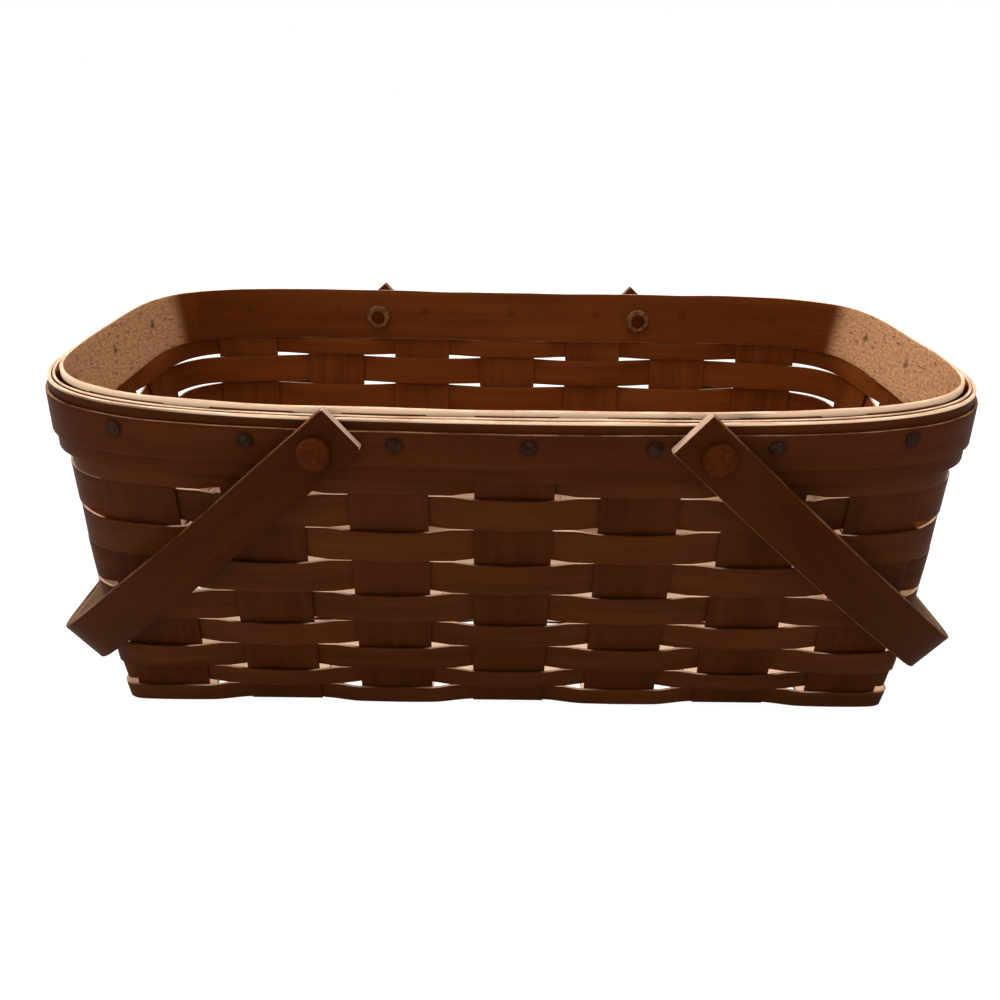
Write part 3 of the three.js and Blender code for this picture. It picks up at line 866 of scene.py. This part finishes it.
def mark_rim(piece, lip_low):
    """Writes how near each point is to a tack or a peg, how far it faces an end, where the inner band gets
    painted light, and its height over the lower side of the pale lip (wear and a painted highlight)."""
    halo = piece.data.attributes.new("halo", "FLOAT", "POINT")
    worn = piece.data.attributes.new("worn", "FLOAT", "POINT")
    lip = piece.data.attributes.new("lip", "FLOAT", "POINT")
    marks = [(entry[2], entry[3], 1.0) for entry in tack_places]
    marks += [(middle, Vector((0, 1, 0)), PEG_MARK_SIZE) for middle in peg_middles]
    for vertex in piece.data.vertices:
        point = vertex.co / MM
        near = 0
        for middle, axis, size in marks:
            apart = point - middle
            if apart.length < 2 * MARK_START * size:
                beside = apart - axis * apart.dot(axis)
                near = max(near, smooth_share(MARK_START, MARK_FULL, beside.length / size))
        halo.data[vertex.index].value = near
        half_length, half_width, _ = wall_size(point.z)
        unit = (point.x / half_length, point.y / half_width)
        # How far the point faces an end, for the painted light on the inner band's ends.
        worn.data[vertex.index].value = smooth_share(0.8, 0.93, abs(wall_outward(unit, point.z).x))
        lip.data[vertex.index].value = point.z - RIM_RISE * min(1, unit[0] ** 2) - lip_low


def band(name, low, high, thickness, middle, seed, lip_low, edge, node):
    faces = (band_wood, band_inside, edge)
    turn = Round((low + high) / 2)
    top = always(high - BAND_WANDER / 2)
    piece = hoop(
        name, turn, always(low), top, thickness, always(middle), BAND_EDGE_RADIUS, BAND_WANDER, seed, faces,
    )
    mark_rim(piece, lip_low)
    stands_for(piece, "basket", node)


band(
    "rim_inner_band", inner_band_low, inner_band_high, BAND_THICKNESS, inner_band_middle, 21,
    rim_top, band_edge, "inner_band",
)
band(
    "rim_filler_splint", filler_low, stake_top, FILLER_THICKNESS, filler_middle, 22,
    rim_top, band_edge, "rim_filler",
)
band(
    "rim_outer_band", outer_band_low, rim_top, BAND_THICKNESS, outer_band_middle, 23,
    rim_top - LIP, band_edge, "outer_band",
)
band(
    "rim_trim_strip", trim_low, trim_high, TRIM_THICKNESS, trim_middle, 24,
    rim_top, trim_edge, "trim_strip",
)


# Tacks with domed heads

for number, (_, _, foot, axis, up, squareness) in enumerate(tack_places, start=1):
    seat = trim_outside * squareness + GAP * 0.5
    point = inner_band_inside * squareness - TACK_POINT_PROUD
    profile = [(0, point), (TACK_SHANK, point + 0.8), (TACK_SHANK, seat)]
    profile.append((TACK_RADIUS * HEAD_FOOT_SHARE, seat))
    for step in range(5):
        angle = math.radians(12 + 78 * step / 4)
        height = TACK_HEIGHT * (0.25 + 0.75 * math.sin(angle))
        profile.append((TACK_RADIUS * math.cos(angle) if step < 4 else 0, seat + height))
    turn = Matrix((up.cross(axis), up, axis)).transposed().to_4x4()
    turn.translation = foot * MM
    tack = turned(f"tack_head_{number:02d}", profile, 24, turn, tack_iron)
    stands_for(tack, "basket", f"tack_{number:02d}")


# Pegs and their washers, turned round lines that run along Y

trim_reach = -wall_point(unit_on_side("cross", -1, peg_x, trim_high), trim_high, trim_outside).y
handle_inside = trim_reach + HANDLE_PLAY
handle_outside = handle_inside + HANDLE_THICKNESS
washer_low = peg_height - WASHER_RADIUS
band_reach = -wall_point(unit_on_side("cross", -1, peg_x, washer_low), washer_low, inner_band_inside).y
washer_outside = band_reach - GAP
washer_inside = washer_outside - WASHER_THICKNESS


def peg_matrix(side_x, side_y):
    turn = Matrix.Rotation(-side_y * math.pi / 2, 4, "X")
    return Matrix.Translation(Vector((side_x * peg_x, 0, peg_height)) * MM) @ turn


def peg_profile():
    seat = handle_outside + GAP
    end = washer_inside - PEG_END_PROUD
    profile = [(0, end), (PEG_RADIUS - PEG_END_EDGE, end), (PEG_RADIUS, end + PEG_END_EDGE)]
    profile += [(PEG_RADIUS, seat), (PEG_HEAD_RADIUS * HEAD_FOOT_SHARE, seat)]
    profile.append((PEG_HEAD_RADIUS, seat + 0.7))
    for step in range(9):
        angle = math.pi / 2 * (step + 1) / 10
        height = blend_values(0.35, 1, math.sin(angle)) * PEG_HEAD_HEIGHT
        profile.append((PEG_HEAD_RADIUS * math.cos(angle), seat + height))
    profile.append((0, seat + PEG_HEAD_HEIGHT))
    return profile


def washer_profile():
    return [
        (WASHER_BORE, washer_inside), (WASHER_RADIUS - WASHER_EDGE, washer_inside),
        (WASHER_RADIUS, washer_inside + WASHER_EDGE), (WASHER_RADIUS, washer_outside - WASHER_EDGE),
        (WASHER_RADIUS - WASHER_EDGE, washer_outside), (WASHER_BORE, washer_outside),
        (WASHER_BORE, washer_inside),
    ]


for side_x, x_name in ((-1, "left"), (1, "right")):
    for side_y, y_name in ((-1, "front"), (1, "rear")):
        matrix = peg_matrix(side_x, side_y)
        peg = turned(f"peg_turned_{y_name}_{x_name}", peg_profile(), 40, matrix, peg_wood)
        stands_for(peg, "basket", f"peg_{y_name}_{x_name}")
        washer = turned(f"washer_turned_{y_name}_{x_name}", washer_profile(), 40, matrix, washer_wood)
        stands_for(washer, "basket", f"washer_{y_name}_{x_name}")


# Handles: a thick strip bent round from one peg to the other

end_slope = (rim_half_length - base_half_length) / rim_top
weave_reach = weaver_middle + WEAVER_THICKNESS / 2 + WEAVER_CROWN + WALL_CLEARANCE
corner_x = peg_x - HANDLE_WIDTH / 2 * math.sin(HANDLE_REST_ANGLE)
corner_z = peg_height - HANDLE_WIDTH / 2 * math.cos(HANDLE_REST_ANGLE)
wall_at_corner = base_half_length + end_slope * corner_z + weave_reach
inner_reach = (wall_at_corner - corner_x) / (
    math.cos(HANDLE_REST_ANGLE) + end_slope * math.sin(HANDLE_REST_ANGLE)
)


def handle_line():
    """The middle line of the strip: its reach from the pegs, and its place across the basket."""
    bend = HANDLE_BEND_RADIUS - HANDLE_THICKNESS / 2
    middle_reach = inner_reach + HANDLE_THICKNESS / 2
    span = handle_inside + HANDLE_THICKNESS / 2
    lean = math.atan(HANDLE_LEAN)
    bend_x = middle_reach - bend + bend * math.sin(lean)
    curved = bend_x - HANDLE_STRAIGHT
    arm_steps, bend_steps, cross_steps = 60, 18, 30
    half = []
    for step in range(arm_steps + 1):
        x = blend_values(-HANDLE_END, bend_x, step / arm_steps)
        share = max(0, (x - HANDLE_STRAIGHT) / curved)
        half.append(Vector((x, -span + HANDLE_LEAN * curved * share ** 2 / 2)))
    bend_y = half[-1].y
    for step in range(1, bend_steps + 1):
        angle = blend_values(lean, math.pi / 2, step / bend_steps)
        half.append(Vector((
            bend_x + bend * (math.sin(angle) - math.sin(lean)),
            bend_y + bend * (math.cos(lean) - math.cos(angle)),
        )))
    end = half[-1]
    half += [Vector((end.x, blend_values(end.y, 0, step / cross_steps))) for step in range(1, cross_steps)]
    return half + [Vector((end.x, 0))] + [Vector((point.x, -point.y)) for point in reversed(half)]


def mark_handle(piece, down, out):
    """Writes how pale the cut ends are, raw end grain and a painted highlight, less so at the rear, and how
    much wear and painted light the strip gets towards the grip.
    """
    cut_end = piece.data.attributes.new("cut_end", "FLOAT", "POINT")
    grip = piece.data.attributes.new("grip", "FLOAT", "POINT")
    for vertex in piece.data.vertices:
        reach = (abs(vertex.co.x) / MM - peg_x) * out - (vertex.co.z / MM - peg_height) * down
        # The cut ends are paler at the front than at the rear.
        end_paleness = 1 if vertex.co.y < 0 else 0.3
        at_end = smooth_share(1.2 - HANDLE_END, 0.4 - HANDLE_END, reach)
        cut_end.data[vertex.index].value = end_paleness * at_end
        # Wear and painted light on the inner face, growing towards the grip.
        grip.data[vertex.index].value = smooth_share(GRIP_START, GRIP_FULL, reach)


def handle(side_x, name):
    line = handle_line()
    along = len(line) - 1
    across = 10
    down, out = math.sin(HANDLE_REST_ANGLE), math.cos(HANDLE_REST_ANGLE)

    def place(i, j):
        reach, y = line[i]
        side = (j / across - 0.5) * (HANDLE_WIDTH + ragged(reach, 0.02, side_x * 3 + 60, HANDLE_WANDER))
        x = peg_x + reach * out + side * down
        z = peg_height - reach * down + side * out
        return Vector((side_x * x, y, z))

    faces = (handle_wood, handle_inner)[::side_x]
    piece = flat_strip(f"{name}_bow", along, across, (*faces, handle_edge))
    lay_strip(piece, along, across, place, HANDLE_WIDTH)
    thicken(piece, HANDLE_THICKNESS, HANDLE_EDGE_RADIUS, segments=3)
    bore_along_y(piece, Vector((side_x * peg_x, 0, peg_height)), WASHER_BORE, 2 * handle_outside + 4)
    mark_handle(piece, down, out)
    stands_for(piece, name, name)


handle(-1, "left_handle")
handle(1, "right_handle")


# Stage, light and camera


def stage_floor():
    bpy.ops.object.select_all(action="DESELECT")
    bpy.ops.mesh.primitive_plane_add(size=12, location=(0, 0, -0.0002))
    floor = bpy.context.active_object
    floor.name = "floor"
    sheet = Sheet("pale_floor")
    seen = sheet.node("ShaderNodeLightPath", output="Is Camera Ray")
    sheet.set(sheet.shader.inputs["Base Color"], (0.86, 0.86, 0.86, 1))
    sheet.set(sheet.shader.inputs["Roughness"], 0.95)
    sheet.set(sheet.shader.inputs["Specular IOR Level"], 0.0)
    glow = sheet.tree.nodes.new("ShaderNodeEmission")
    glow.inputs["Color"].default_value = (1, 1, 1, 1)
    glow.inputs["Strength"].default_value = 1.2
    mixer = sheet.tree.nodes.new("ShaderNodeMixShader")
    sheet.set(mixer.inputs[0], seen * 0.78)
    sheet.tree.links.new(sheet.shader.outputs[0], mixer.inputs[1])
    sheet.tree.links.new(glow.outputs[0], mixer.inputs[2])
    sheet.tree.links.new(mixer.outputs[0], sheet.tree.nodes["Material Output"].inputs["Surface"])
    floor.data.materials.append(sheet.material)


def world_light(strength):
    world = bpy.data.worlds.new("studio")
    bpy.context.scene.world = world
    world.use_nodes = True
    tree = world.node_tree
    background = tree.nodes["Background"]
    path = tree.nodes.new("ShaderNodeLightPath")
    level = tree.nodes.new("ShaderNodeMapRange")
    level.inputs["To Min"].default_value = strength
    level.inputs["To Max"].default_value = 1
    tree.links.new(path.outputs["Is Camera Ray"], level.inputs["Value"])
    tree.links.new(level.outputs["Result"], background.inputs["Strength"])
    background.inputs["Color"].default_value = (1, 1, 1, 1)


def lamp(name, place, aim, size, power):
    data = bpy.data.lights.new(name, "AREA")
    data.shape = "DISK"
    data.size = size
    data.energy = power
    light = bpy.data.objects.new(name, data)
    light.location = place
    light.rotation_euler = (Vector(aim) - Vector(place)).to_track_quat("-Z", "Y").to_euler()
    bpy.context.scene.collection.objects.link(light)


stage_floor()
world_light(0.42)
lamp("rear_left_softbox", (-1.3, 1.25, 1.55), (0, 0, 0.1), 1.1, 34)
lamp("rear_right_softbox", (1.3, 1.25, 1.55), (0, 0, 0.1), 1.1, 14)
lamp("top_softbox", (-0.25, -0.2, 1.9), (0, 0, 0.1), 1.3, 16)
lamp("front_fill", (-0.5, -2.2, 1.3), (0, 0, 0.08), 1.6, 13)

# The camera stands where the photograph was taken from.
CAMERA_PLACE = Vector((-13.36, -571.06, 319.31))
CAMERA_DOWN = math.radians(23)
CAMERA_TURN = math.radians(0.84)
CAMERA_TILT = math.radians(1.14)


def photograph_camera():
    forward = Vector((0, math.cos(CAMERA_DOWN), -math.sin(CAMERA_DOWN)))
    down = Vector((0, -math.sin(CAMERA_DOWN), -math.cos(CAMERA_DOWN)))
    level = Matrix((Vector((1, 0, 0)), down, forward))
    turn = Matrix.Rotation(CAMERA_TURN, 3, "Z")
    tilt = Matrix.Rotation(CAMERA_TILT, 3, "Z")
    right, down, forward = tilt @ level @ turn
    data = bpy.data.cameras.new("photograph")
    data.sensor_width = 36
    data.lens = 36
    data.clip_start = 0.01
    camera = bpy.data.objects.new("photograph", data)
    axes = Matrix((right, -down, -forward)).transposed().to_4x4()
    axes.translation = CAMERA_PLACE * MM
    camera.matrix_world = axes
    bpy.context.scene.collection.objects.link(camera)
    bpy.context.scene.camera = camera


photograph_camera()
bpy.context.scene.view_settings.view_transform = "Standard"

bpy.context.view_layer.update()
